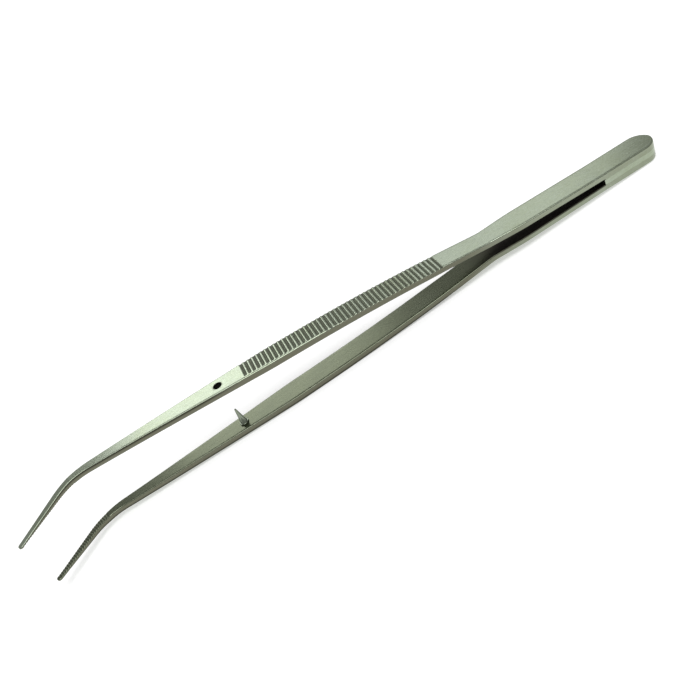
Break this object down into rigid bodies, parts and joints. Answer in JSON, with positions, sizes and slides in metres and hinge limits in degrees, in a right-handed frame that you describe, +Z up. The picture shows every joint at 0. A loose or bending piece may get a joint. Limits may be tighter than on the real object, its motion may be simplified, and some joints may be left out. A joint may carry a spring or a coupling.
{
  "type": "print tongs",
  "caption": "Long sprung darkroom print tongs with grooved finger grips, a guide pin and toothed jaws turned to one side.",
  "frame": {"origin": "centre of the bounding box in plan, on the table that the tongs lie on", "axes": "+X along the arms towards the welded heel, +Y across the arms away from the side that the jaws turn to, +Z up"},
  "size_m": [0.2434, 0.022, 0.0246],
  "materials": {
    "arm_steel": "brushed satin stainless steel",
    "spacer_steel": "ground stainless steel",
    "pin_steel": "turned stainless steel"
  },
  "bodies": {
    "heel": {"heel_spacer": "spacer_steel", "upper_arm_root": "arm_steel", "lower_arm_root": "arm_steel"},
    "upper_arm": {"upper_arm_blade": "arm_steel"},
    "lower_arm": {"lower_arm_blade": "arm_steel", "guide_pin": "pin_steel"}
  },
  "joints": [
    {"name": "upper_arm_flex", "type": "hinge", "parent": "heel", "child": "upper_arm", "pos_m": [0.07673, 0.00564, 0.00752], "axis": [0, -1, 0], "range_deg": [0, 2.55], "stiffness_Nm_per_rad": 18},
    {"name": "lower_arm_flex", "type": "hinge", "parent": "heel", "child": "lower_arm", "pos_m": [0.07651, 0.00564, 0.00272], "axis": [0, 1, 0], "range_deg": [0, 2.55], "stiffness_Nm_per_rad": 18}
  ],
  "couplings": [
    {"joint": "lower_arm_flex", "follows": "upper_arm_flex", "ratio": 1}
  ]
}
